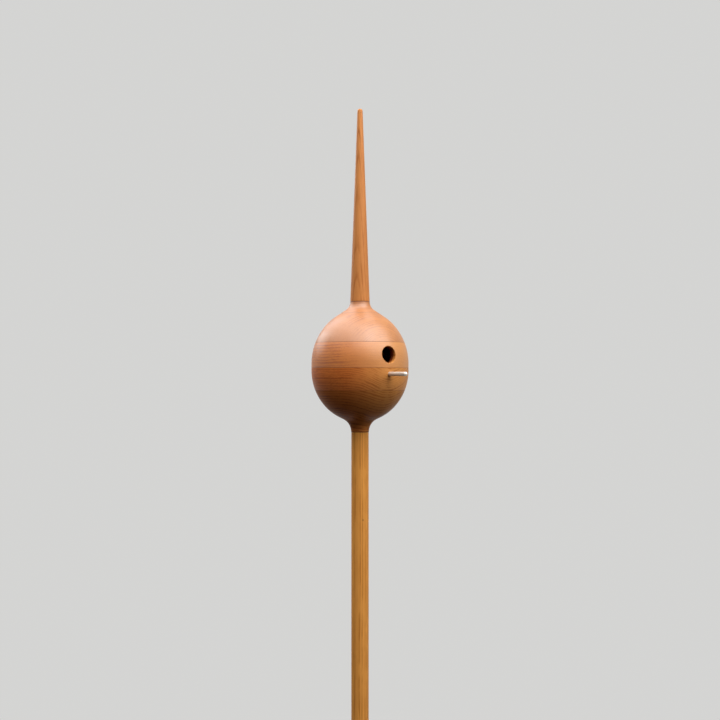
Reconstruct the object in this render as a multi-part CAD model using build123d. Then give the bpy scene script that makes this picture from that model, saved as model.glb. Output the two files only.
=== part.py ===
from build123d import *
import os
from math import acos, atan2, degrees, hypot, sqrt

# Egg-shaped nest box of turned wood, on a round timber pole that stands in the ground.
# Millimetres, +Z up. The origin is the middle of the pole's foot, at ground level.
# The entrance and the perch face -Y.

# Pole: a plain round timber with a turned tenon that the egg stands on
pole_height = 1400.0
pole_diameter = 34.0
pole_tenon_diameter = 22.0
pole_tenon_length = 30.0

# Egg: an oval half over another, each drawn with two arcs from its waist to an apex on the axis.
# Heights are counted from the equator seam.
egg_diameter = 190.0
crown_rise = 114.0
keel_drop = 106.0
waist_rise = 8.0
waist_drop = 5.5

# Neck and foot: a straight slope leaves each oval for a corner, which a hollow arc rounds off
neck_diameter = 38.0
neck_rise = 15.7
neck_corner_rise = 5.0
foot_diameter = 35.0
foot_drop = 19.0
foot_corner_drop = 2.0

# Plank rings that the egg is glued up from; the dome and the bowl are what these leave
entrance_ring_height = 49.2
neck_cap_height = 23.1
perch_ring_height = 43.9

# Hollow, cut with a straight taper in each ring: the level wall at each seam, the flat ceiling
# and floor, and the solid wood left between these and the tenons' ends
wall_thickness = 12.0
ceiling_diameter = 60.0
floor_diameter = 70.0
crown_web = 11.7
keel_web = 12.0

# Spigot on the dome, which drops into a rebate in the entrance ring
spigot_height = 6.0
spigot_clearance = 0.15

# Spire: a straight taper with a round tip, tenoned into the neck
spire_length = 379.3
spire_tip_diameter = 10.5
spire_tenon_diameter = 18.0
spire_tenon_length = 30.0

# Entrance, bored level through the wall half way up its ring
entrance_diameter = 32.0
entrance_edge_radius = 1.0

# Perch: a steel peg with a round end, in a blind seat
perch_diameter = 8.0
perch_projection = 52.0
perch_drop = 12.0
perch_seat_web = 3.0

# Fits and eased edges
socket_clearance = 0.1
rim_chamfer = 0.3
foot_chamfer = 1.5
tenon_chamfer = 1.0

egg_radius = egg_diameter / 2
foot_seam = -(keel_drop + foot_drop)
perch_ring_seam = -perch_ring_height
dome_seam = entrance_ring_height
neck_seam = crown_rise + neck_rise
neck_line = neck_seam - neck_cap_height
cavity_radius = egg_radius - wall_thickness
cavity_top = neck_seam - spire_tenon_length - crown_web
cavity_bottom = foot_seam + pole_tenon_length + keel_web
equator_height = pole_height - foot_seam
entrance_height = entrance_ring_height / 2


def oval_radii(rise):
    """Radii of the side arc and the shoulder arc of an oval as wide as the egg, by the compass rule."""
    diagonal = hypot(egg_radius, rise)
    shoulder_radius = diagonal * (diagonal - rise + egg_radius) / (2 * rise)
    side_radius = shoulder_radius + (rise - shoulder_radius) * diagonal / egg_radius
    return side_radius, shoulder_radius


def side_distance(height):
    """How far the egg's side is from the axis at a height between the two shoulders."""
    waist, apex = (waist_rise, crown_rise) if height > 0 else (waist_drop, keel_drop)
    side_radius, _ = oval_radii(apex - waist)
    beyond_waist = max(abs(height) - waist, 0)
    return egg_radius - side_radius + sqrt(side_radius**2 - beyond_waist**2)


def egg_half(way, waist, apex, neck_radius, corner, neck_end):
    """The egg's side from its waist, up for a way of 1 and down for -1, to the end of its neck."""
    side_radius, shoulder_radius = oval_radii(apex - waist)
    side_turn = degrees(atan2(egg_radius, apex - waist))
    side = CenterArc((egg_radius - side_radius, way * waist), side_radius, 0, way * side_turn)

    shoulder_centre = apex - shoulder_radius
    corner_distance = hypot(neck_radius, corner - shoulder_centre)
    corner_turn = atan2(corner - shoulder_centre, neck_radius)
    slope_turn = degrees(corner_turn - acos(shoulder_radius / corner_distance))
    shoulder = CenterArc(
        (0, way * shoulder_centre), shoulder_radius, way * side_turn, way * (slope_turn - side_turn)
    )

    corner_point = Vector(neck_radius, way * corner)
    down_slope = (shoulder @ 1 - corner_point).normalized()
    slope = Line(shoulder @ 1, corner_point + down_slope * (neck_end - corner))
    hollow = TangentArc(slope @ 1, (neck_radius, way * neck_end), tangent=slope % 1)
    return [side, shoulder, slope, hollow]


def block(radius, low, high):
    """Half of a round block's section, from the axis out to a radius."""
    return Pos(radius / 2, (low + high) / 2) * Rectangle(radius, high - low)


def turned(section):
    """Turn a half section about the upright axis, with the equator seam at its height."""
    return Pos(0, 0, equator_height) * revolve(Plane.XZ * section, Axis.Z)


def rim_cut(radius, height, way):
    """Section that takes the sharp corner off a rim: its upper rim for a way of -1, lower for 1."""
    inner = radius - rim_chamfer
    outer = radius + 2 * rim_chamfer
    return Polygon((inner, height), (outer, height + way * (outer - inner)), (outer, height), align=None)


def egg_section():
    """Half section of the solid egg with its neck and foot."""
    upper = egg_half(
        1, waist_rise, crown_rise, neck_diameter / 2, crown_rise + neck_corner_rise, neck_seam
    )
    lower = egg_half(
        -1, waist_drop, keel_drop, foot_diameter / 2, keel_drop + foot_corner_drop, -foot_seam
    )
    waist = Line((egg_radius, -waist_drop), (egg_radius, waist_rise))
    axis_side = Polyline(
        (neck_diameter / 2, neck_seam), (0, neck_seam), (0, foot_seam), (foot_diameter / 2, foot_seam)
    )
    return make_face([*upper, *lower, waist, *axis_side.edges()])


def cavity_section():
    """Half section of the nest chamber: a straight taper from seam to seam, a wall inside the egg."""
    return Polygon(
        (0, cavity_top),
        (ceiling_diameter / 2, cavity_top),
        (side_distance(dome_seam) - wall_thickness, dome_seam),
        (cavity_radius, 0),
        (side_distance(perch_ring_seam) - wall_thickness, perch_ring_seam),
        (floor_diameter / 2, cavity_bottom),
        (0, cavity_bottom),
        align=None,
    )


shell = egg_section() - cavity_section()


def layer(low, high):
    """The part of the shell's half section between two seams."""
    return shell & block(egg_diameter, low, high)


def spigot_radius():
    """Outside of the dome's spigot, half way through the wall at the dome seam."""
    return side_distance(dome_seam) - wall_thickness / 2


def make_pole():
    shaft = Cylinder(pole_diameter / 2, pole_height, align=(Align.CENTER, Align.CENTER, Align.MIN))
    shaft = chamfer(shaft.edges().group_by(Axis.Z)[0], foot_chamfer)
    shaft = chamfer(shaft.edges().group_by(Axis.Z)[-1], rim_chamfer)
    tenon = Cylinder(
        pole_tenon_diameter / 2, pole_tenon_length, align=(Align.CENTER, Align.CENTER, Align.MIN)
    )
    tenon = chamfer(tenon.edges().group_by(Axis.Z)[-1], tenon_chamfer)
    return shaft + Pos(0, 0, pole_height) * tenon


def make_bowl():
    socket_end = foot_seam + pole_tenon_length + socket_clearance
    socket = block(pole_tenon_diameter / 2 + socket_clearance, foot_seam, socket_end)
    section = layer(foot_seam, perch_ring_seam) - socket
    return turned(section - rim_cut(foot_diameter / 2, foot_seam, 1))


def perch_root():
    """How far from the axis the perch leaves the egg's surface."""
    return side_distance(-perch_drop)


def perch_seat_depth():
    """Depth of the perch's blind seat, which leaves a web to the nest chamber."""
    return wall_thickness - perch_seat_web


def along_front(radius, near, far, height):
    """A round bar that points to -Y, between two distances from the axis."""
    bar = Cylinder(radius, far - near, align=(Align.CENTER, Align.CENTER, Align.MIN))
    return Pos(0, -near, equator_height + height) * Rot(90, 0, 0) * bar


def make_perch_ring():
    ring = turned(layer(perch_ring_seam, 0) - rim_cut(egg_radius, 0, -1))
    seat_end = perch_root() - perch_seat_depth() - socket_clearance
    seat = along_front(perch_diameter / 2 + socket_clearance, seat_end, egg_diameter, -perch_drop)
    return ring - seat


def make_entrance_ring():
    rebate = block(
        spigot_radius() + spigot_clearance, dome_seam - spigot_height - spigot_clearance, dome_seam
    )
    section = layer(0, dome_seam) - rebate - rim_cut(egg_radius, 0, 1)
    ring = turned(section - rim_cut(side_distance(dome_seam), dome_seam, -1))
    ring = ring - along_front(entrance_diameter / 2, 0, egg_diameter, entrance_height)
    mouth = ring.edges().filter_by_position(Axis.Y, -egg_radius, -cavity_radius)
    return fillet(mouth, entrance_edge_radius)


def spire_socket():
    """Half section of the hole that the spire's tenon fills, through the neck cap into the dome."""
    depth = spire_tenon_length + socket_clearance
    return block(spire_tenon_diameter / 2 + socket_clearance, neck_seam - depth, neck_seam)


def make_dome():
    spigot = layer(dome_seam - spigot_height, dome_seam) & block(
        spigot_radius(), dome_seam - spigot_height, dome_seam
    )
    section = layer(dome_seam, neck_line) + spigot - spire_socket()
    return turned(section - rim_cut(side_distance(dome_seam), dome_seam, 1))


def make_neck_cap():
    section = layer(neck_line, neck_seam) - spire_socket()
    return turned(section - rim_cut(neck_diameter / 2, neck_seam, -1))


def make_spire():
    base_radius = neck_diameter / 2
    tip_radius = spire_tip_diameter / 2
    taper_top = neck_seam + spire_length - tip_radius
    tip = RadiusArc((tip_radius, taper_top), (0, taper_top + tip_radius), -tip_radius)
    outline = Polyline(
        (0, taper_top + tip_radius),
        (0, neck_seam),
        (base_radius - rim_chamfer, neck_seam),
        (base_radius, neck_seam + rim_chamfer),
        (tip_radius, taper_top),
    )
    spire = turned(make_face([tip, *outline.edges()]))
    tenon = turned(block(spire_tenon_diameter / 2, neck_seam - spire_tenon_length, neck_seam))
    tenon = chamfer(tenon.edges().group_by(Axis.Z)[0], tenon_chamfer)
    return spire + tenon


def make_perch():
    radius = perch_diameter / 2
    end_centre = perch_root() + perch_projection - radius
    peg = along_front(radius, perch_root() - perch_seat_depth(), end_centre, -perch_drop)
    return peg + Pos(0, -end_centre, equator_height - perch_drop) * Sphere(radius)


parts = {
    "pole": make_pole(),
    "bowl": make_bowl(),
    "perch_ring": make_perch_ring(),
    "entrance_ring": make_entrance_ring(),
    "dome": make_dome(),
    "neck_cap": make_neck_cap(),
    "spire": make_spire(),
    "perch": make_perch(),
}

os.makedirs("parts", exist_ok=True)
for name, shape in parts.items():
    export_step(shape, f"parts/{name}.step")
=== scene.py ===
import math
from dataclasses import dataclass

import bmesh
import bpy
import numpy as np
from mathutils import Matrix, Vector


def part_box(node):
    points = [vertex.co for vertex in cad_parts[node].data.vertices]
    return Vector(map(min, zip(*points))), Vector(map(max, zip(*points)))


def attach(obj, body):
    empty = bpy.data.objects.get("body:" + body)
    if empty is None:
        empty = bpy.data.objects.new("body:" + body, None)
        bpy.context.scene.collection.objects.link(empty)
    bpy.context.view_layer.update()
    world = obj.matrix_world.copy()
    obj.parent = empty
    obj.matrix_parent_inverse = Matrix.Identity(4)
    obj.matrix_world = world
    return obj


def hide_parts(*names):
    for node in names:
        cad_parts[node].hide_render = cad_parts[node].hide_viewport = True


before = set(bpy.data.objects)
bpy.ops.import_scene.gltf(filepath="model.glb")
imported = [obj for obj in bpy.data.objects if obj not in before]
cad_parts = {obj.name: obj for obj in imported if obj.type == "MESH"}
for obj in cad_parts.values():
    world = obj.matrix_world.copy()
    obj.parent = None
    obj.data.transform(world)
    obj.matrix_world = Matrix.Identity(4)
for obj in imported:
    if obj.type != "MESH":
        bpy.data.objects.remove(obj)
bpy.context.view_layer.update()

# Looks of the egg-shaped nest box on its pole, in metres, in the part's own frame: the origin is
# the middle of the pole's foot at ground level, +Z is up, and the entrance faces -Y

# Heights, taken from the solids
SPIRE_LOW, SPIRE_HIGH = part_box("spire")
CAP_LOW, CAP_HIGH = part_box("neck_cap")
DOME_LOW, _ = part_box("dome")
UPPER_LOW, UPPER_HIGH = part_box("entrance_ring")
BOWL_LOW, BOWL_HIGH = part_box("bowl")
POLE_LOW, POLE_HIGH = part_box("pole")
PEG_LOW, PEG_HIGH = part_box("perch")

TIP = SPIRE_HIGH.z
NECK_SEAM = CAP_HIGH.z
NECK_LINE = CAP_LOW.z
DOME_SEAM = UPPER_HIGH.z
EQUATOR = UPPER_LOW.z
RING_SEAM = BOWL_HIGH.z
FOOT_SEAM = BOWL_LOW.z
TENON_TOP = POLE_HIGH.z
TENON_FOOT = SPIRE_LOW.z
GROUND = POLE_LOW.z

# Egg: two ovals, each of a side arc and a shoulder arc, and their hollow flares
EGG_RADIUS = UPPER_HIGH.x
CROWN_RISE = 0.114
KEEL_DROP = 0.106
WAIST_RISE = 0.008
WAIST_DROP = 0.0055
NECK_RADIUS = 0.019
NECK_CORNER_RISE = 0.005
FOOT_RADIUS = 0.0175
FOOT_CORNER_DROP = 0.002

# Hollow, spigot and tenons
WALL = 0.012
CEILING_RADIUS = 0.030
FLOOR_RADIUS = 0.035
CROWN_WEB = 0.0117
KEEL_WEB = 0.012
SPIGOT_HEIGHT = DOME_SEAM - DOME_LOW.z
SPIGOT_CLEARANCE = 0.00015
SPIRE_TENON_RADIUS = 0.009
POLE_TENON_RADIUS = 0.011
SOCKET_CLEARANCE = 0.0001
POLE_RADIUS = POLE_HIGH.x
TIP_RADIUS = 0.00525

# Entrance and perch
ENTRANCE_RADIUS = 0.016
ENTRANCE_EASE = 0.0014
ENTRANCE_HEIGHT = (EQUATOR + DOME_SEAM) / 2
PEG_RADIUS = PEG_HIGH.x
PEG_HEIGHT = (PEG_LOW.z + PEG_HIGH.z) / 2
PEG_END = PEG_LOW.y
PEG_ROOT = PEG_HIGH.y

# Edges: the grooves at the open seams and the finer ones at the glue lines
SEAM_CHAMFER = 0.0003
GLUE_CHAMFER = 0.00012
FOOT_CHAMFER = 0.0015
TENON_CHAMFER = 0.001

# Fineness of the meshes
EGG_SEGMENTS = 320
NECK_SEGMENTS = 128
POLE_SEGMENTS = 96
PEG_SEGMENTS = 64
ROW = 0.002
POLE_ROW = 0.02
SPIRE_POINTS = 60
PEG_POINTS = 24
END_STEPS = 12
SHARP_ANGLE = math.radians(28)
MERGE_DISTANCE = 1e-7

# Windows left in the front of the rings: columns each side of the middle, rows, and the steps
# that lead from them to a round hole, round its edge and down its bore
ENTRANCE_COLUMNS = 13
ENTRANCE_ROWS = 20
SEAT_COLUMNS = 5
SEAT_ROWS = 8
WINDOW_RINGS = 6
EASE_STEPS = 6
BORE_STEPS = 8


# Outline of the egg


def oval_radii(rise):
    """Radii of the side arc and the shoulder arc of an oval as wide as the egg."""
    diagonal = math.hypot(EGG_RADIUS, rise)
    shoulder = diagonal * (diagonal - rise + EGG_RADIUS) / (2 * rise)
    side = shoulder + (rise - shoulder) * diagonal / EGG_RADIUS
    return side, shoulder


class Half:
    """One half of the egg's outline, in distances from the equator, up or down."""

    def __init__(self, waist, apex, neck_radius, corner, end):
        self.waist, self.neck_radius, self.end = waist, neck_radius, end
        self.side, self.shoulder = oval_radii(apex - waist)
        self.turn = math.atan2(EGG_RADIUS, apex - waist)
        self.shoulder_centre = apex - self.shoulder
        distance = math.hypot(neck_radius, corner - self.shoulder_centre)
        corner_turn = math.atan2(corner - self.shoulder_centre, neck_radius)
        self.leave = corner_turn - math.acos(self.shoulder / distance)
        reach = end - corner
        self.hollow = reach / math.tan(self.leave / 2)
        self.join = waist + self.side * math.sin(self.turn)
        self.slope_start = self.shoulder_centre + self.shoulder * math.sin(self.leave)
        self.slope_end = corner - reach * math.cos(self.leave)
        self.corner = corner

    def radius(self, distance):
        """Distance of the egg's surface from the axis."""
        if distance <= self.waist:
            return EGG_RADIUS
        if distance <= self.join:
            beyond = distance - self.waist
            return EGG_RADIUS - self.side + math.sqrt(self.side**2 - beyond**2)
        if distance <= self.slope_start:
            beyond = distance - self.shoulder_centre
            return math.sqrt(self.shoulder**2 - beyond**2)
        if distance <= self.slope_end:
            return self.neck_radius + (self.corner - distance) * math.tan(self.leave)
        short = max(self.end - distance, 0)
        return self.neck_radius + self.hollow - math.sqrt(self.hollow**2 - short**2)


CROWN = Half(
    WAIST_RISE, CROWN_RISE, NECK_RADIUS, CROWN_RISE + NECK_CORNER_RISE, NECK_SEAM - EQUATOR
)
KEEL = Half(
    WAIST_DROP, KEEL_DROP, FOOT_RADIUS, KEEL_DROP + FOOT_CORNER_DROP, EQUATOR - FOOT_SEAM
)


def egg_radius(height):
    """Distance of the egg's surface from the axis at a height above the ground."""
    if height >= EQUATOR:
        return CROWN.radius(height - EQUATOR)
    return KEEL.radius(EQUATOR - height)


CAVITY = [
    (FLOOR_RADIUS, TENON_TOP + KEEL_WEB),
    (egg_radius(RING_SEAM) - WALL, RING_SEAM),
    (EGG_RADIUS - WALL, EQUATOR),
    (egg_radius(DOME_SEAM) - WALL, DOME_SEAM),
    (CEILING_RADIUS, TENON_FOOT - CROWN_WEB),
]


def cavity_radius(height):
    """Distance of the nest chamber's wall from the axis at a height above the ground."""
    radii, heights = zip(*CAVITY)
    return float(np.interp(height, heights, radii))


def rows(low, high, step=ROW):
    """Heights from low to high in even steps of about the given size."""
    return np.linspace(low, high, max(int(round((high - low) / step)), 1) + 1)


def skin(low, high, low_chamfer, high_chamfer, step=ROW):
    """Section of the egg's surface between two seams, with a fine chamfer at each."""
    low_edge = (egg_radius(low) - low_chamfer, low)
    high_edge = (egg_radius(high) - high_chamfer, high)
    heights = rows(low + low_chamfer, high - high_chamfer, step)
    return [low_edge, *((egg_radius(z), z) for z in heights), high_edge]


# Meshes


class Builder:
    """Collects vertices and faces, then makes an object of them."""

    def __init__(self):
        self.points = []
        self.faces = []

    def add(self, points):
        """Add vertices and return their numbers."""
        start = len(self.points)
        self.points.extend(tuple(float(c) for c in p) for p in points)
        return list(range(start, len(self.points)))

    def bridge(self, first, second):
        """Quads between two closed loops of as many vertices."""
        count = len(first)
        for i in range(count):
            j = (i + 1) % count
            self.faces.append((first[i], first[j], second[j], second[i]))

    def bridge_all(self, loops):
        """Quads all along a run of closed loops."""
        for first, second in zip(loops, loops[1:]):
            self.bridge(first, second)

    def cap(self, loop, middle):
        """Triangles from a closed loop to a middle point."""
        centre = self.add([middle])[0]
        for i in range(len(loop)):
            self.faces.append((loop[i], loop[(i + 1) % len(loop)], centre))

    def object(self, name):
        """A smooth object of the faces, with its sharp edges kept sharp."""
        mesh = bpy.data.meshes.new(name)
        mesh.from_pydata(self.points, [], self.faces)
        work = bmesh.new()
        work.from_mesh(mesh)
        bmesh.ops.remove_doubles(work, verts=work.verts, dist=MERGE_DISTANCE)
        bmesh.ops.recalc_face_normals(work, faces=work.faces)
        work.to_mesh(mesh)
        work.free()
        mesh.polygons.foreach_set("use_smooth", [True] * len(mesh.polygons))
        mesh.set_sharp_from_angle(angle=SHARP_ANGLE)
        mesh.update()
        thing = bpy.data.objects.new(name, mesh)
        bpy.context.scene.collection.objects.link(thing)
        return thing


def circle(radius, height, segments):
    """Points round the axis at a height, the first of them in front."""
    turn = np.arange(segments) * 2 * math.pi / segments
    level = np.full(segments, height)
    return np.column_stack([radius * np.sin(turn), -radius * np.cos(turn), level])


def turned_loops(builder, section, segments):
    """A loop round the axis for each (radius, height) of a section."""
    return [builder.add(circle(r, z, segments)) for r, z in section]


def turned(name, section, segments):
    """A turned solid whose section starts and ends on the axis, or runs round in a ring."""
    builder = Builder()
    on_axis = section[0][0] == 0
    inner = section[1:-1] if on_axis else section
    loops = turned_loops(builder, inner, segments)
    builder.bridge_all(loops)
    if on_axis:
        builder.cap(loops[0], (0, 0, section[0][1]))
        builder.cap(loops[-1], (0, 0, section[-1][1]))
    else:
        builder.bridge(loops[-1], loops[0])
    return builder.object(name)


def front_point(across, height, surface):
    """The point on the front of a turned surface at a distance across and a height."""
    radius = surface(height)
    return (across, -math.sqrt(radius**2 - across**2), height)


def window_loop(loops, columns):
    """Vertices round a window that spans the given loops, and columns each side of the front."""
    count = len(loops[0])
    right = [c % count for c in range(-columns, columns + 1)]
    bottom = [loops[0][c] for c in right]
    top = [loops[-1][c] for c in reversed(right)]
    right_side = [row[right[-1]] for row in loops[1:-1]]
    left_side = [row[right[0]] for row in reversed(loops[1:-1])]
    return bottom + right_side + top + left_side


def turned_with_window(builder, loops, columns):
    """Quads between loops, apart from a window in the front."""
    count = len(loops[0])
    for first, second in zip(loops, loops[1:]):
        for i in range(columns, count - columns):
            j = (i + 1) % count
            builder.faces.append((first[i], first[j], second[j], second[i]))


def close_in(builder, window, angles, radius, height, surface):
    """Loops that lead from a window in a turned surface to a round hole; returns the last."""
    square = np.array([builder.points[i] for i in window])
    hole = np.column_stack([radius * np.cos(angles), height + radius * np.sin(angles)])
    loop = window
    for step in range(1, WINDOW_RINGS + 1):
        share = step / WINDOW_RINGS
        across = (1 - share) * square[:, 0] + share * hole[:, 0]
        level = (1 - share) * square[:, 2] + share * hole[:, 1]
        following = builder.add(front_point(x, z, surface) for x, z in zip(across, level))
        builder.bridge(loop, following)
        loop = following
    return loop


def eased_mouth(builder, loop, angles, radius, ease, height, surface):
    """Loops that round a hole's mouth into its bore; returns the last of them.

    Each edge point follows a quadratic curve: from the surface, on to the corner that the surface
    and the bore would make, and from there into the bore.
    """
    wide = radius + ease
    beyond = wide + ease
    for step in range(1, EASE_STEPS + 1):
        t = step / EASE_STEPS
        from_start, from_corner, from_end = (1 - t) ** 2, 2 * t * (1 - t), t**2
        points = []
        for angle in angles:
            right, up = math.cos(angle), math.sin(angle)
            start_depth = front_point(wide * right, height + wide * up, surface)[1]
            beyond_depth = front_point(beyond * right, height + beyond * up, surface)[1]
            corner_depth = 2 * start_depth - beyond_depth
            end_depth = corner_depth + ease
            out = from_start * wide + from_corner * radius + from_end * radius
            depth = from_start * start_depth + from_corner * corner_depth + from_end * end_depth
            points.append((out * right, depth, height + out * up))
        following = builder.add(points)
        builder.bridge(loop, following)
        loop = following
    return loop


def bore(builder, loop, end_points):
    """Loops that lead straight from a loop to end points; returns the last of them."""
    start = np.array([builder.points[i] for i in loop])
    for step in range(1, BORE_STEPS + 1):
        share = step / BORE_STEPS
        following = builder.add((1 - share) * start + share * np.array(end_points))
        builder.bridge(loop, following)
        loop = following
    return loop


def split_rows(low, high, first, last, count):
    """Heights from low to high with a window of count even rows between first and last.

    Returns the heights, and where the window's own heights start and end among them.
    """
    below = rows(low, first)[:-1]
    window = np.linspace(first, last, count + 1)
    above = rows(last, high)[1:]
    return np.concatenate([below, window, above]), len(below), len(below) + count + 1


def window_angles(builder, window, height):
    """Angle of each vertex of a window about its middle, seen from the front."""
    points = np.array([builder.points[i] for i in window])
    return np.arctan2(points[:, 2] - height, points[:, 0])


def make_entrance_ring():
    """The ring above the equator, with the entrance through its front wall."""
    builder = Builder()
    reach = ENTRANCE_RADIUS + 2 * ENTRANCE_EASE
    first, last = ENTRANCE_HEIGHT - reach - ROW, ENTRANCE_HEIGHT + reach + ROW
    rebate_floor = DOME_SEAM - SPIGOT_HEIGHT - SPIGOT_CLEARANCE
    rebate_radius = egg_radius(DOME_SEAM) - WALL / 2 + SPIGOT_CLEARANCE

    heights, start, end = split_rows(
        EQUATOR + SEAM_CHAMFER, DOME_SEAM - SEAM_CHAMFER, first, last, ENTRANCE_ROWS
    )
    outside = turned_loops(builder, [(egg_radius(z), z) for z in heights], EGG_SEGMENTS)
    inner_last = rebate_floor - (rebate_floor - ENTRANCE_HEIGHT - ENTRANCE_RADIUS) / 2
    inner, inner_start, inner_end = split_rows(
        EQUATOR, rebate_floor, first, inner_last, ENTRANCE_ROWS
    )
    inside = turned_loops(builder, [(cavity_radius(z), z) for z in inner], EGG_SEGMENTS)

    for loops, low, high in ((outside, start, end), (inside, inner_start, inner_end)):
        builder.bridge_all(loops[: low + 1])
        builder.bridge_all(loops[high - 1:])
        turned_with_window(builder, loops[low:high], ENTRANCE_COLUMNS)

    rim = turned_loops(
        builder,
        [
            (egg_radius(DOME_SEAM) - SEAM_CHAMFER, DOME_SEAM),
            (rebate_radius, DOME_SEAM),
            (rebate_radius, rebate_floor),
        ],
        EGG_SEGMENTS,
    )
    foot = turned_loops(builder, [(EGG_RADIUS - SEAM_CHAMFER, EQUATOR)], EGG_SEGMENTS)
    builder.bridge_all([outside[-1], *rim, inside[-1]])
    builder.bridge_all([inside[0], *foot, outside[0]])

    outer_window = window_loop(outside[start:end], ENTRANCE_COLUMNS)
    angles = window_angles(builder, outer_window, ENTRANCE_HEIGHT)
    mouth = close_in(
        builder, outer_window, angles, ENTRANCE_RADIUS + ENTRANCE_EASE, ENTRANCE_HEIGHT, egg_radius
    )
    throat = eased_mouth(
        builder, mouth, angles, ENTRANCE_RADIUS, ENTRANCE_EASE, ENTRANCE_HEIGHT, egg_radius
    )
    inner_window = window_loop(inside[inner_start:inner_end], ENTRANCE_COLUMNS)
    inner_mouth = close_in(
        builder, inner_window, angles, ENTRANCE_RADIUS, ENTRANCE_HEIGHT, cavity_radius
    )
    last_loop = bore(builder, throat, [builder.points[i] for i in inner_mouth])
    builder.bridge(last_loop, inner_mouth)
    return builder.object("entrance_ring_wood")


def make_perch_ring():
    """The ring below the equator, with the perch's blind seat in its front."""
    builder = Builder()
    seat_radius = PEG_RADIUS + SOCKET_CLEARANCE
    first, last = PEG_HEIGHT - 2 * seat_radius, PEG_HEIGHT + 2 * seat_radius
    heights, start, end = split_rows(
        RING_SEAM + GLUE_CHAMFER, EQUATOR - SEAM_CHAMFER, first, last, SEAT_ROWS
    )
    outside = turned_loops(builder, [(egg_radius(z), z) for z in heights], EGG_SEGMENTS)
    builder.bridge_all(outside[: start + 1])
    builder.bridge_all(outside[end - 1:])
    turned_with_window(builder, outside[start:end], SEAT_COLUMNS)
    round_the_rest = turned_loops(
        builder,
        [
            (EGG_RADIUS - SEAM_CHAMFER, EQUATOR),
            (cavity_radius(EQUATOR), EQUATOR),
            (cavity_radius(RING_SEAM), RING_SEAM),
            (egg_radius(RING_SEAM) - GLUE_CHAMFER, RING_SEAM),
        ],
        EGG_SEGMENTS,
    )
    builder.bridge_all([outside[-1], *round_the_rest, outside[0]])

    window = window_loop(outside[start:end], SEAT_COLUMNS)
    angles = window_angles(builder, window, PEG_HEIGHT)
    mouth = close_in(builder, window, angles, seat_radius, PEG_HEIGHT, egg_radius)
    seat_end = PEG_ROOT + SOCKET_CLEARANCE
    floor_loop = bore(
        builder,
        mouth,
        [(builder.points[i][0], seat_end, builder.points[i][2]) for i in mouth],
    )
    builder.cap(floor_loop, (0, seat_end, PEG_HEIGHT))
    return builder.object("perch_ring_wood")


def make_bowl():
    """The bottom of the egg, with the socket for the pole's tenon."""
    socket_radius = POLE_TENON_RADIUS + SOCKET_CLEARANCE
    socket_end = TENON_TOP + SOCKET_CLEARANCE
    outside = skin(FOOT_SEAM, RING_SEAM, SEAM_CHAMFER, GLUE_CHAMFER, ROW / 2)
    section = [
        (0, socket_end),
        (socket_radius, socket_end),
        (socket_radius, FOOT_SEAM),
        *outside,
        *reversed(CAVITY[:2]),
        (0, CAVITY[0][1]),
    ]
    return turned("bowl_wood", section, EGG_SEGMENTS)


def make_dome():
    """The crown of the egg, with its spigot and the end of the spire's socket."""
    socket_radius = SPIRE_TENON_RADIUS + SOCKET_CLEARANCE
    socket_end = TENON_FOOT - SOCKET_CLEARANCE
    spigot_foot = DOME_SEAM - SPIGOT_HEIGHT
    spigot_radius = egg_radius(DOME_SEAM) - WALL / 2
    outside = skin(DOME_SEAM, NECK_LINE, SEAM_CHAMFER, GLUE_CHAMFER)
    section = [
        (0, CAVITY[-1][1]),
        CAVITY[-1],
        CAVITY[-2],
        (cavity_radius(spigot_foot), spigot_foot),
        (spigot_radius, spigot_foot),
        (spigot_radius, DOME_SEAM),
        *outside,
        (socket_radius, NECK_LINE),
        (socket_radius, socket_end),
        (0, socket_end),
    ]
    return turned("dome_wood", section, EGG_SEGMENTS)


def make_neck_cap():
    """The flared cap between the dome and the spire."""
    socket_radius = SPIRE_TENON_RADIUS + SOCKET_CLEARANCE
    outside = skin(NECK_LINE, NECK_SEAM, GLUE_CHAMFER, SEAM_CHAMFER, ROW / 2)
    section = [*outside, (socket_radius, NECK_SEAM), (socket_radius, NECK_LINE)]
    return turned("neck_cap_wood", section, NECK_SEGMENTS)


def make_spire():
    """The tapered spike with its round tip and its tenon."""
    taper_top = TIP - TIP_RADIUS
    taper = [
        (NECK_RADIUS + (TIP_RADIUS - NECK_RADIUS) * t, NECK_SEAM + (taper_top - NECK_SEAM) * t)
        for t in np.linspace(0, 1, SPIRE_POINTS)
    ]
    taper[0] = (NECK_RADIUS, NECK_SEAM + SEAM_CHAMFER)
    tip = [
        (TIP_RADIUS * math.cos(a), taper_top + TIP_RADIUS * math.sin(a))
        for a in np.linspace(0, math.pi / 2, END_STEPS + 1)[1:-1]
    ]
    section = [
        (0, TENON_FOOT),
        (SPIRE_TENON_RADIUS - TENON_CHAMFER, TENON_FOOT),
        (SPIRE_TENON_RADIUS, TENON_FOOT + TENON_CHAMFER),
        (SPIRE_TENON_RADIUS, NECK_SEAM),
        (NECK_RADIUS - SEAM_CHAMFER, NECK_SEAM),
        *taper,
        *tip,
        (0, TIP),
    ]
    return turned("spire_wood", section, POLE_SEGMENTS)


def make_pole():
    """The round pole with the tenon that the egg stands on."""
    heights = rows(GROUND + FOOT_CHAMFER, FOOT_SEAM - SEAM_CHAMFER, POLE_ROW)
    shaft = [(POLE_RADIUS, z) for z in heights]
    section = [
        (0, GROUND),
        (POLE_RADIUS - FOOT_CHAMFER, GROUND),
        *shaft,
        (POLE_RADIUS - SEAM_CHAMFER, FOOT_SEAM),
        (POLE_TENON_RADIUS, FOOT_SEAM),
        (POLE_TENON_RADIUS, TENON_TOP - TENON_CHAMFER),
        (POLE_TENON_RADIUS - TENON_CHAMFER, TENON_TOP),
        (0, TENON_TOP),
    ]
    return turned("pole_wood_shaft", section, POLE_SEGMENTS)


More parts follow.
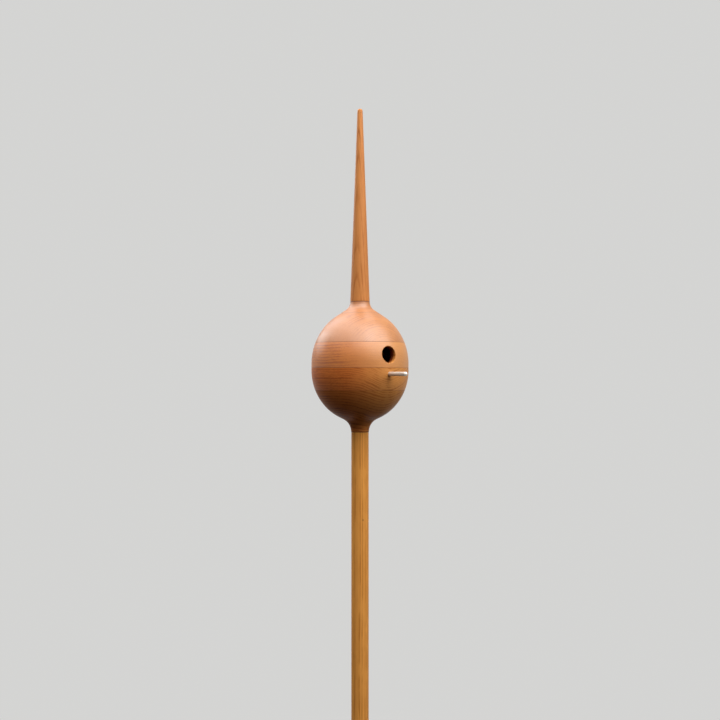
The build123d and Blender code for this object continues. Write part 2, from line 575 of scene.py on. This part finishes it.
def make_perch():
    """A peg along -Y with a round end."""
    builder = Builder()
    end_centre = PEG_END + PEG_RADIUS
    profile = [(PEG_RADIUS, y) for y in np.linspace(PEG_ROOT, end_centre, PEG_POINTS)]
    profile += [
        (PEG_RADIUS * math.cos(a), end_centre - PEG_RADIUS * math.sin(a))
        for a in np.linspace(0, math.pi / 2, END_STEPS + 1)[1:-1]
    ]
    turn = np.arange(PEG_SEGMENTS) * 2 * math.pi / PEG_SEGMENTS
    loops = []
    for radius, depth in profile:
        across = radius * np.cos(turn)
        level = PEG_HEIGHT + radius * np.sin(turn)
        loops.append(builder.add(np.column_stack([across, np.full(PEG_SEGMENTS, depth), level])))
    builder.bridge_all(loops)
    builder.cap(loops[0], (0, PEG_ROOT, PEG_HEIGHT))
    builder.cap(loops[-1], (0, PEG_END, PEG_HEIGHT))
    return builder.object("perch_peg")


# Node trees

SEEN_RAYS = ("Is Camera Ray", "Is Glossy Ray", "Is Transmission Ray")


def colour(red, green, blue):
    return (red, green, blue, 1.0)


def shade(tone, factor):
    """A tone made lighter or darker."""
    return colour(*(factor * c for c in tone))


class Nodes:
    """Short forms for building the node tree of a material or a world."""

    def __init__(self, owner, output_kind="ShaderNodeOutputMaterial"):
        owner.use_nodes = True
        self.tree = owner.node_tree
        self.tree.nodes.clear()
        self.output = self.add(output_kind)

    def add(self, kind, **values):
        node = self.tree.nodes.new(kind)
        for key, value in values.items():
            setattr(node, key, value)
        return node

    def link(self, source, target):
        self.tree.links.new(source, target)

    def feed(self, socket, value):
        """Link a socket to an output, or set it to a plain value."""
        if isinstance(value, bpy.types.NodeSocket):
            self.link(value, socket)
        else:
            socket.default_value = value

    def math(self, operation, first, second=0.0, clamp=False):
        node = self.add("ShaderNodeMath", operation=operation, use_clamp=clamp)
        self.feed(node.inputs[0], first)
        self.feed(node.inputs[1], second)
        return node.outputs[0]

    def vector(self, operation, first, second=(0, 0, 0)):
        node = self.add("ShaderNodeVectorMath", operation=operation)
        self.feed(node.inputs[0], first)
        self.feed(node.inputs[1], second)
        return node.outputs["Value" if operation in ("DOT_PRODUCT", "LENGTH") else "Vector"]

    def separate(self, place):
        """The three coordinates of a place."""
        node = self.add("ShaderNodeSeparateXYZ")
        self.link(place, node.inputs[0])
        return tuple(node.outputs)

    def combine(self, x, y, z):
        """The place with three given coordinates."""
        node = self.add("ShaderNodeCombineXYZ")
        for socket, source in zip(node.inputs, (x, y, z)):
            self.link(source, socket)
        return node.outputs[0]

    def noise(self, place, scale, detail, rough):
        """Noise from 0 to 1, its scale counted per metre."""
        node = self.add("ShaderNodeTexNoise")
        self.feed(node.inputs["Vector"], place)
        node.inputs["Scale"].default_value = scale
        node.inputs["Detail"].default_value = detail
        node.inputs["Roughness"].default_value = rough
        return node.outputs["Fac"]

    def spread(self, value, low, high, out_low=0.0, out_high=1.0, smooth=False):
        """A value carried from one range to another and held at its ends."""
        node = self.add("ShaderNodeMapRange", clamp=True)
        node.interpolation_type = "SMOOTHSTEP" if smooth else "LINEAR"
        self.feed(node.inputs["Value"], value)
        node.inputs["From Min"].default_value = low
        node.inputs["From Max"].default_value = high
        node.inputs["To Min"].default_value = out_low
        node.inputs["To Max"].default_value = out_high
        return node.outputs["Result"]

    def blend(self, share, first, second, mode="MIX"):
        node = self.add("ShaderNodeMix", data_type="RGBA", blend_type=mode)
        self.feed(node.inputs["Factor"], share)
        self.feed(node.inputs[6], first)
        self.feed(node.inputs[7], second)
        return node.outputs[2]

    def lay(self, base, tone, pattern, low, high, strength):
        """Lay a tone over a base where a pattern rises from low to high, up to a strength."""
        return self.blend(self.spread(pattern, low, high, 0.0, strength), base, tone)

    def ramp(self, value, stops):
        """A value read off a line through the given stops."""
        node = self.add("ShaderNodeValToRGB")
        self.feed(node.inputs["Fac"], value)
        ramp = node.color_ramp
        while len(ramp.elements) < len(stops):
            ramp.elements.new(0.5)
        for element, (place, level) in zip(ramp.elements, stops):
            element.position = place
            element.color = (level, level, level, 1)
        return node.outputs["Color"]

    def bump(self, relief, strength, depth):
        """The surface's normal, roughened by a relief of a depth in metres."""
        node = self.add("ShaderNodeBump")
        node.inputs["Strength"].default_value = strength
        node.inputs["Distance"].default_value = depth
        self.link(relief, node.inputs["Height"])
        return node.outputs["Normal"]

    def seen(self):
        """1 for rays from the camera, off a mirror or through glass, and 0 for all others."""
        path = self.add("ShaderNodeLightPath")
        first, *others = (path.outputs[name] for name in SEEN_RAYS)
        for ray in others:
            first = self.math("ADD", first, ray, clamp=True)
        return first

    def shader(self, kind, **values):
        """A shader of a kind, its sockets fed by their names with _ for a space."""
        node = self.add(kind)
        for name, value in values.items():
            self.feed(node.inputs[name.replace("_", " ")], value)
        return node.outputs[0]

    def mix(self, share, first, second):
        """A share of the second shader over the first."""
        node = self.add("ShaderNodeMixShader")
        self.link(share, node.inputs["Fac"])
        self.link(first, node.inputs[1])
        self.link(second, node.inputs[2])
        return node.outputs["Shader"]

    def surface(self, shader):
        self.link(shader, self.output.inputs["Surface"])


# Wood


@dataclass
class Wood:
    """How one plank lies and looks.

    Its fibres run along Y or Z. The pith, which the growth rings go round, is given as (x, z) for
    fibres along Y and as (x, y) for fibres along Z. Ring is the distance from one growth ring to
    the next, tones are the colours of early and late wood, and seed sets the plank's own pattern.
    Joints are the heights of its rims, each with the reach and the depth of the dark line drawn
    there, of dirt in the joint and of painted shade in its groove.

    Lines is how strongly the rings show, and faded how much of that the end grain loses. They sway
    slowly and ripple quickly by the given distances. Dashes is how strongly short dark marks show
    on the side grain. A sag is how far the rings of a plank from far out in a wide log dip in its
    middle, while they run flat at its sides. Clear is where across the plank, from the first X to
    the second, the rings come in. The left tint is a painted shade, by which the colour darkens
    and reddens towards the egg's left as the camera sees it, away from the key lamp. Knot is the
    place of a small knot, and a bored plank has the entrance in it.
    """

    name: str
    slot: str
    fibres: str
    pith: tuple
    ring: float
    tones: tuple
    seed: float
    joints: list
    lines: float
    gloss: float
    sway: float
    ripple: float = 0.0016
    faded: float = 0.0
    dashes: float = 0.0
    sag: float = 0.0
    clear: tuple = ()
    left_shade: tuple = ()
    knot: tuple = ()
    bored: bool = False


# Noise patterns of the wood: the length of each across the fibres as a share of its length along
# them, then its scale, detail and roughness
SWAY = (0.12, 14, 2, 0.5)
RIPPLE = (0.12, 75, 3, 0.5)
WEAR = (0.40, 55, 2, 0.5)
STREAKS = (0.035, 260, 3, 0.55)
PATCHES = (0.12, 11, 2, 0.5)
FIBRES = (0.035, 900, 4, 0.6)
PORES = (0.035, 1500, 2, 0.5)
DASHES = (0.10, 420, 2, 0.5)
POLISH = (0.12, 40, 3, 0.5)
SEED_SHIFT = (1.37, 0.71, 0.53)

# Growth rings: how dark one of them is from its start to its end, and how their width varies
RING_STOPS = [(0.0, 0.05), (0.50, 0.12), (0.78, 0.85), (0.88, 1.0), (1.0, 0.05)]
UNEVEN_SCALE = 70
UNEVEN_DETAIL = 1
UNEVEN_REACH = 0.009
SAG_REACH = 0.075

# Where side grain turns to end grain, by the cosine between the surface's normal and the fibres
END_GRAIN_EDGES = (0.40, 0.85)

# How strongly the rings show, by the wear pattern and in a plank's clear part
WEAR_RANGE = (0.36, 0.62, 0.18, 1.0)
CLEAR_LINES = 0.15

# Tones over the rings: the values of its pattern between which each sets in, and how far it shows
STREAK_RANGE = (0.35, 0.70, 0.30)
PATCH_RANGE = (0.45, 0.78, 0.30)
FIBRE_RANGE = (0.40, 0.68, 0.18)
DASH_RANGE = (0.52, 0.66)
PORE_RANGE = (0.62, 0.74)
PORE_SHARE = 0.25
END_GRAIN_SHARE = 0.12
LIGHTER = 1.12
DARKER = 0.70
PORE_SHADE = 0.45

# Painted shade on the camera's left: the way to the lit side, and the distances where it sets in
LIT_SIDE = (0.80, -0.60, 0.0)
LIT_EDGE = 0.075
SHADED_EDGE = -0.035

# Knot: its colour, its darkness and the distances from its middle between which that fades
KNOT_COLOUR = (0.16, 0.060, 0.018)
KNOT_DEPTH = 0.62
KNOT_CORE = 0.0006
KNOT_RADIUS = 0.0026
KNOT_STRETCH = (1, 1, 0.8)

# Entrance bore: bare wood, with painted shade that deepens from just inside the egg's surface
BORE_SHADE_COLOUR = (0.130, 0.016, 0.004)
BORE_SHARE = 0.94
BORE_START = 0.004
BORE_GLOSS = 0.04

# Joint dirt and painted shade: its colour, and the share of each line's reach at its darkest
JOINT_DIRT_AND_SHADE = (0.085, 0.022, 0.006)
JOINT_LINE_CORE = 0.35

# Surface: the roughness that the polish pattern gives, and how far the rings lower it. Then how
# far rings and fibres raise the surface and pores sink it, and that relief's strength and depth
POLISH_RANGE = (0.3, 0.7, 0.38, 0.48)
RING_SHINE = 0.05
RING_RELIEF = 0.5
FIBRE_RELIEF = 0.6
PORE_RELIEF = 0.5
WOOD_BUMP = (0.35, 0.00015)


class Grain:
    """The places and directions that the layers of one plank's look share."""

    def __init__(self, n, wood):
        self.n = n
        self.place = n.add("ShaderNodeTexCoord").outputs["Object"]
        self.x, self.y, self.z = n.separate(self.place)

        # The plank's own coordinates: Z along the fibres
        across_y = wood.fibres == "Y"
        self.local = n.combine(self.x, self.z, self.y) if across_y else self.place
        self.shifted = n.vector("ADD", self.local, tuple(wood.seed * s for s in SEED_SHIFT))

        normal = n.add("ShaderNodeNewGeometry").outputs["Normal"]
        long_axis = (0, 1, 0) if across_y else (0, 0, 1)
        facing = n.math("ABSOLUTE", n.vector("DOT_PRODUCT", normal, long_axis))
        self.end = n.spread(facing, *END_GRAIN_EDGES, smooth=True)

    def pattern(self, share, scale, detail, rough):
        """Noise that is drawn out along the fibres."""
        place = self.n.vector("MULTIPLY", self.shifted, (1, 1, share))
        return self.n.noise(place, scale, detail, rough)


def pith_distance(n, wood, grain):
    """Distance from the pith line or, in a plank whose rings sag, how far below it."""
    if wood.sag:
        aside = n.math("ABSOLUTE", n.math("SUBTRACT", grain.x, wood.pith[0]))
        dip = n.spread(aside, 0.0, SAG_REACH, wood.sag, 0.0, smooth=True)
        return n.math("SUBTRACT", wood.pith[1], n.math("ADD", grain.z, dip))
    from_pith = n.vector("SUBTRACT", grain.local, (*wood.pith, 0))
    return n.vector("LENGTH", n.vector("MULTIPLY", from_pith, (1, 1, 0)))


def late_wood(n, wood, grain):
    """How dark the growth rings make each place: of uneven width, and not quite round."""
    slow = n.math("SUBTRACT", grain.pattern(*SWAY), 0.5)
    quick = n.math("SUBTRACT", grain.pattern(*RIPPLE), 0.5)
    distance = pith_distance(n, wood, grain)
    distance = n.math("ADD", distance, n.math("MULTIPLY", slow, 2 * wood.sway))
    distance = n.math("ADD", distance, n.math("MULTIPLY", quick, 2 * wood.ripple))
    uneven = n.add("ShaderNodeTexNoise", noise_dimensions="1D")
    n.link(n.math("ADD", distance, wood.seed), uneven.inputs["W"])
    uneven.inputs["Scale"].default_value = UNEVEN_SCALE
    uneven.inputs["Detail"].default_value = UNEVEN_DETAIL
    width = n.math("MULTIPLY", uneven.outputs["Fac"], UNEVEN_REACH)
    cycle = n.math("FRACT", n.math("DIVIDE", n.math("ADD", distance, width), wood.ring))
    return n.ramp(cycle, RING_STOPS)


def growth_lines(n, wood, grain):
    """The rings as they show: strong in places, faded on the end grain and in a clear part."""
    strength = n.spread(grain.pattern(*WEAR), *WEAR_RANGE)
    shown = n.spread(grain.end, 0.0, 1.0, wood.lines, wood.lines * (1 - wood.faded))
    if wood.clear:
        coming = n.spread(grain.x, *wood.clear, CLEAR_LINES, 1.0, smooth=True)
        shown = n.math("MULTIPLY", shown, coming)
    return n.math("MULTIPLY", late_wood(n, wood, grain), n.math("MULTIPLY", strength, shown))


def plank_tone(n, wood, grain, lines, fibres, pores):
    """The wood's colour: the rings, then streaks, patches, fibres, pores and dashes over them."""
    early, late = wood.tones
    darker = shade(late, DARKER)
    base = n.blend(lines, colour(*early), colour(*late))
    base = n.lay(base, shade(early, LIGHTER), grain.pattern(*STREAKS), *STREAK_RANGE)
    base = n.lay(base, darker, grain.pattern(*PATCHES), *PATCH_RANGE)
    base = n.lay(base, darker, fibres, *FIBRE_RANGE)
    base = n.blend(n.math("MULTIPLY", pores, PORE_SHARE), base, shade(late, PORE_SHADE))
    base = n.blend(n.math("MULTIPLY", grain.end, END_GRAIN_SHARE), base, darker)
    if wood.dashes:
        dashes = n.spread(grain.pattern(*DASHES), *DASH_RANGE, 0.0, wood.dashes)
        side_grain = n.math("SUBTRACT", 1.0, grain.end)
        base = n.blend(n.math("MULTIPLY", dashes, side_grain), base, darker)
    return base


def with_painted_left_shade(n, wood, grain, base):
    """Painted shade: darker and redder towards the camera's left, away from the key lamp."""
    across = n.vector("DOT_PRODUCT", grain.place, LIT_SIDE)
    share = n.spread(across, LIT_EDGE, SHADED_EDGE, smooth=True)
    return n.blend(share, base, colour(*wood.left_shade), "MULTIPLY")


def with_knot(n, wood, grain, base):
    """A small knot, a little longer than it is wide."""
    off = n.vector("SUBTRACT", grain.place, wood.knot)
    distance = n.vector("LENGTH", n.vector("MULTIPLY", off, KNOT_STRETCH))
    knot = n.spread(distance, KNOT_CORE, KNOT_RADIUS, KNOT_DEPTH, 0.0, smooth=True)
    return n.blend(knot, base, colour(*KNOT_COLOUR))


def in_bore(n, grain):
    """1 down the entrance's bore, and 0 everywhere else."""
    from_bore = n.vector("SUBTRACT", grain.place, (0, 0, ENTRANCE_HEIGHT))
    across = n.vector("LENGTH", n.vector("MULTIPLY", from_bore, (1, 0, 1)))
    inside = n.math("LESS_THAN", across, ENTRANCE_RADIUS + ENTRANCE_EASE / 2)
    return n.math("MULTIPLY", inside, n.math("LESS_THAN", grain.y, 0.0))


def with_bore_shade(n, grain, inside, base):
    """Bare wood down the entrance, with painted shade: redder and darker away from its mouth."""
    from_axis = n.vector("LENGTH", n.vector("MULTIPLY", grain.place, (1, 1, 0)))
    start, end = EGG_RADIUS - BORE_START, EGG_RADIUS - WALL
    deep = n.spread(from_axis, end, start, BORE_SHARE, 0.0, smooth=True)
    return n.blend(n.math("MULTIPLY", inside, deep), base, colour(*BORE_SHADE_COLOUR))


def with_joints(n, wood, grain, base):
    """Dirt, and painted shade of the grooves, in the joints at the plank's rims."""
    for level, reach, depth in wood.joints:
        near = n.math("ABSOLUTE", n.math("SUBTRACT", grain.z, level))
        line = n.spread(near, JOINT_LINE_CORE * reach, reach, depth, 0.0, smooth=True)
        base = n.blend(line, base, colour(*JOINT_DIRT_AND_SHADE))
    return base


def wood_material(wood):
    """Growth rings about a pith line, fibres along the plank, and a satin oiled surface."""
    material = bpy.data.materials.new(wood.name)
    n = Nodes(material)
    grain = Grain(n, wood)
    lines = growth_lines(n, wood, grain)
    fibres = grain.pattern(*FIBRES)
    pores = n.spread(grain.pattern(*PORES), *PORE_RANGE)

    base = plank_tone(n, wood, grain, lines, fibres, pores)
    # Painted shade: darker and redder towards the camera's left
    if wood.left_shade:
        base = with_painted_left_shade(n, wood, grain, base)
    if wood.knot:
        base = with_knot(n, wood, grain, base)
    gloss = wood.gloss
    # Painted shade down the entrance's bore, over its bare wood
    if wood.bored:
        inside = in_bore(n, grain)
        base = with_bore_shade(n, grain, inside, base)
        gloss = n.spread(inside, 0.0, 1.0, wood.gloss, BORE_GLOSS)
    # Dirt and painted shade in the joints at the plank's rims
    base = with_joints(n, wood, grain, base)

    rough = n.spread(grain.pattern(*POLISH), *POLISH_RANGE)
    rough = n.math("SUBTRACT", rough, n.math("MULTIPLY", lines, RING_SHINE))
    relief = n.math("MULTIPLY", lines, RING_RELIEF)
    relief = n.math("ADD", relief, n.math("MULTIPLY", fibres, FIBRE_RELIEF))
    relief = n.math("SUBTRACT", relief, n.math("MULTIPLY", pores, PORE_RELIEF))
    shader = n.shader(
        "ShaderNodeBsdfPrincipled",
        Base_Color=base,
        Roughness=rough,
        Normal=n.bump(relief, *WOOD_BUMP),
        Specular_IOR_Level=gloss,
    )
    n.surface(shader)
    return material


# Tones of the planks, early and late wood
CROWN_WOOD = ((0.485, 0.196, 0.055), (0.310, 0.103, 0.027))
RING_WOOD = ((0.555, 0.232, 0.060), (0.335, 0.106, 0.023))
KEEL_WOOD = ((0.600, 0.256, 0.068), (0.345, 0.114, 0.025))
POLE_WOOD = ((0.700, 0.300, 0.062), (0.430, 0.152, 0.024))
SPIRE_WOOD = ((0.495, 0.192, 0.054), (0.335, 0.106, 0.024))

# Pith lines that two planks of the egg share, as (x, z)
CROWN_PITH = (-0.001, 1.534)
KEEL_PITH = (0.001, 1.600)

# Joint lines, dirt and painted shade: how far each reaches from its seam, and how dark it is
NECK_JOINT = (0.00085, 0.85)
RIM_JOINT = (0.0006, 0.55)
FOOT_JOINT = (0.0013, 0.95)
GLUE_JOINT = (0.0006, 0.50)

# The left tints of the planks are painted shade, darker away from the key lamp
WOODS = {
    "pole": Wood(
        "pole_timber", "pole_wood", "Z", pith=(-0.045, -0.030), ring=0.0036, tones=POLE_WOOD,
        seed=3.1, joints=[(FOOT_SEAM, *FOOT_JOINT)],
        lines=1.6, gloss=0.12, sway=0.003, ripple=0.0008, knot=(-0.0047, -0.0163, 1.229),
    ),
    "bowl": Wood(
        "bowl_plank", "egg_wood", "Y", pith=KEEL_PITH, ring=0.0050, tones=KEEL_WOOD,
        seed=7.7, joints=[(FOOT_SEAM, *FOOT_JOINT), (RING_SEAM, *GLUE_JOINT)],
        lines=1.3, gloss=0.05, sway=0.003, sag=0.018, left_shade=(0.72, 0.50, 0.38),
    ),
    "perch_ring": Wood(
        "perch_ring_plank", "egg_wood", "Y", pith=KEEL_PITH, ring=0.0046, tones=KEEL_WOOD,
        seed=1.9, joints=[(RING_SEAM, *GLUE_JOINT), (EQUATOR, *RIM_JOINT)],
        lines=1.5, gloss=0.14, sway=0.0025, ripple=0.0018, sag=0.024, faded=0.15, dashes=0.40,
        left_shade=(0.78, 0.50, 0.36),
    ),
    "entrance_ring": Wood(
        "entrance_ring_plank", "egg_wood", "Y", pith=(-0.020, 0.950), ring=0.0056, tones=RING_WOOD,
        seed=5.3, joints=[(EQUATOR, *RIM_JOINT), (DOME_SEAM, *RIM_JOINT)],
        lines=1.6, gloss=0.72, sway=0.003, ripple=0.0022, faded=0.82, dashes=0.30, bored=True,
        left_shade=(0.93, 0.69, 0.36),
    ),
    "dome": Wood(
        "dome_plank", "egg_wood", "Y", pith=CROWN_PITH, ring=0.0042, tones=CROWN_WOOD,
        seed=2.6, joints=[(DOME_SEAM, *RIM_JOINT), (NECK_LINE, *GLUE_JOINT)],
        lines=1.5, gloss=0.78, sway=0.002, ripple=0.0008, clear=(-0.075, -0.020),
        left_shade=(0.77, 0.68, 0.62),
    ),
    "neck_cap": Wood(
        "neck_cap_plank", "egg_wood", "Y", pith=CROWN_PITH, ring=0.0042, tones=CROWN_WOOD,
        seed=9.4, joints=[(NECK_LINE, *GLUE_JOINT), (NECK_SEAM, *NECK_JOINT)],
        lines=0.9, gloss=0.78, sway=0.002, ripple=0.0008, left_shade=(0.82, 0.73, 0.68),
    ),
    "spire": Wood(
        "spire_timber", "spire_wood", "Z", pith=(0.042, 0.028), ring=0.0026, tones=SPIRE_WOOD,
        seed=4.2, joints=[(NECK_SEAM, *NECK_JOINT)],
        lines=1.2, gloss=0.15, sway=0.0015, ripple=0.0006,
    ),
}


# Steel

STEEL = (0.74, 0.67, 0.59)
STEEL_SCRATCHED = (0.56, 0.50, 0.435)
STEEL_DULL = (0.36, 0.30, 0.245)
STEEL_METALLIC = 0.45
STEEL_GLOSS = 0.25

# Noise patterns of the steel: stretch, scale, detail and roughness
SCRATCHES = ((1, 0.03, 1), 2600, 3, 0.6)
TURNED_MARKS = ((0.2, 1, 0.2), 1400, 2, 0.5)
DULL_PATCHES = ((1, 1, 1), 110, 3, 0.5)

# What the patterns do: the values between which each sets in, then how far its tone shows or
# from which roughness to which it leads
SCRATCH_TONE = (0.35, 0.65, 0.5)
DULL_TONE = (0.5, 0.75, 0.4)
SCRATCH_ROUGHNESS = (0.3, 0.7, 0.24, 0.40)
DULL_ROUGHNESS = (0.5, 0.75, 0.0, 0.08)
MARK_RELIEF = 0.4
STEEL_BUMP = (0.3, 0.00005)


def steel_material():
    """Drawn steel: fine scratches round and along the peg, and a dull patch here and there."""
    material = bpy.data.materials.new("brushed_steel")
    n = Nodes(material)
    place = n.add("ShaderNodeTexCoord").outputs["Object"]

    def pattern(stretch, scale, detail, rough):
        return n.noise(n.vector("MULTIPLY", place, stretch), scale, detail, rough)

    scratches = pattern(*SCRATCHES)
    dull = pattern(*DULL_PATCHES)
    base = n.lay(colour(*STEEL), colour(*STEEL_SCRATCHED), scratches, *SCRATCH_TONE)
    base = n.lay(base, colour(*STEEL_DULL), dull, *DULL_TONE)
    rough = n.spread(scratches, *SCRATCH_ROUGHNESS)
    rough = n.math("ADD", rough, n.spread(dull, *DULL_ROUGHNESS))
    relief = n.math("MULTIPLY", pattern(*TURNED_MARKS), MARK_RELIEF)
    relief = n.math("ADD", scratches, relief)
    shader = n.shader(
        "ShaderNodeBsdfPrincipled",
        Base_Color=base,
        Metallic=STEEL_METALLIC,
        Roughness=rough,
        Normal=n.bump(relief, *STEEL_BUMP),
        Specular_IOR_Level=STEEL_GLOSS,
    )
    n.surface(shader)
    return material


# Dressing the part


def dress(piece, node, material):
    """Let a piece stand for a node of the part and its material."""
    piece.data.materials.append(material)
    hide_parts(node)
    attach(piece, "root")


MAKERS = {
    "pole": make_pole,
    "bowl": make_bowl,
    "perch_ring": make_perch_ring,
    "entrance_ring": make_entrance_ring,
    "dome": make_dome,
    "neck_cap": make_neck_cap,
    "spire": make_spire,
}

for node, maker in MAKERS.items():
    dress(maker(), node, wood_material(WOODS[node]))
dress(make_perch(), "perch", steel_material())


# Stage

BACKGROUND = (0.66, 0.66, 0.65)
AMBIENT = 0.055

# Floor: its tone where it is seen, its tone for the light that it throws back, and the distances
# from the pole's foot between which it fades into the background
FLOOR_HALF = 60.0
FLOOR_TONE = (0.50, 0.50, 0.49)
FLOOR_TINT = (0.06, 0.05, 0.04)
FADE_START = 0.5
FADE_END = 3.0


def make_floor():
    """A wide pale floor, clear from below, that fades into the background and keeps the shadow."""
    builder = Builder()
    corners = [(-1, -1), (1, -1), (1, 1), (-1, 1)]
    loop = builder.add([(FLOOR_HALF * x, FLOOR_HALF * y, GROUND) for x, y in corners])
    builder.faces.append(tuple(loop))
    floor = builder.object("floor")

    material = bpy.data.materials.new("pale_floor")
    n = Nodes(material)
    place = n.add("ShaderNodeTexCoord").outputs["Object"]
    away = n.spread(n.vector("LENGTH", place), FADE_START, FADE_END, smooth=True)
    seen = n.seen()
    tone = n.blend(seen, colour(*FLOOR_TINT), colour(*FLOOR_TONE))
    near = n.shader("ShaderNodeBsdfDiffuse", Color=tone)
    far = n.shader("ShaderNodeEmission", Color=colour(*BACKGROUND))
    from_above = n.mix(n.math("MULTIPLY", away, seen), near, far)
    below = n.add("ShaderNodeNewGeometry").outputs["Backfacing"]
    n.surface(n.mix(below, from_above, n.shader("ShaderNodeBsdfTransparent")))
    floor.data.materials.append(material)


def make_world():
    """The background's tone where it is seen, and a low even light on everything."""
    world = bpy.data.worlds.new("studio")
    bpy.context.scene.world = world
    n = Nodes(world, "ShaderNodeOutputWorld")
    dim = n.shader("ShaderNodeBackground", Color=colour(1, 1, 1), Strength=AMBIENT)
    pale = n.shader("ShaderNodeBackground", Color=colour(*BACKGROUND), Strength=1.0)
    n.surface(n.mix(n.seen(), dim, pale))


# Camera: level with the egg, and left of its front
VIEW_AZIMUTH = math.radians(-36.5)
VIEW_DISTANCE = 2.4
EYE_HEIGHT = 1.511
VIEW_PITCH = math.radians(0.70)
LENS = 61.25
SENSOR_WIDTH = 36
VIEW_REACH = 300

TOWARDS_CAMERA = Vector((math.sin(VIEW_AZIMUTH), -math.cos(VIEW_AZIMUTH), 0))
TO_THE_RIGHT = Vector((math.cos(VIEW_AZIMUTH), math.sin(VIEW_AZIMUTH), 0))
UP = Vector((0, 0, 1))

# Lamps: how far right of, above and before the egg, as the camera sees it, width, height, watts
LAMPS = {
    "key": (1.70, 1.95, 1.05, 2.5, 2.5, 98),
    "front": (0.25, 2.30, 1.50, 2.4, 2.6, 72),
    "left": (-1.55, 2.25, 0.80, 2.2, 2.2, 29),
    "sky": (-0.5, 2.35, -0.6, 2.8, 1.8, 44),
    "window": (-1.6, 1.35, -1.2, 1.7, 1.7, 32),
}


def make_camera():
    camera = bpy.data.objects.new("camera", bpy.data.cameras.new("camera"))
    bpy.context.scene.collection.objects.link(camera)
    camera.location = TOWARDS_CAMERA * VIEW_DISTANCE + UP * EYE_HEIGHT
    camera.rotation_euler = (math.pi / 2 + VIEW_PITCH, 0, VIEW_AZIMUTH)
    camera.data.lens = LENS
    camera.data.sensor_width = SENSOR_WIDTH
    camera.data.clip_end = VIEW_REACH
    bpy.context.scene.camera = camera


def make_light(name, right, up, near, width, height, power):
    """A soft area lamp that points at the egg."""
    data = bpy.data.lights.new(name, "AREA")
    data.shape = "RECTANGLE"
    data.size, data.size_y = width, height
    data.energy = power
    lamp = bpy.data.objects.new(name, data)
    bpy.context.scene.collection.objects.link(lamp)
    aim = Vector((0, 0, EQUATOR))
    lamp.location = aim + TO_THE_RIGHT * right + UP * up + TOWARDS_CAMERA * near
    lamp.rotation_euler = (aim - lamp.location).to_track_quat("-Z", "Y").to_euler()


make_floor()
make_world()
make_camera()
for name, values in LAMPS.items():
    make_light(name, *values)

bpy.context.scene.view_settings.view_transform = "Standard"
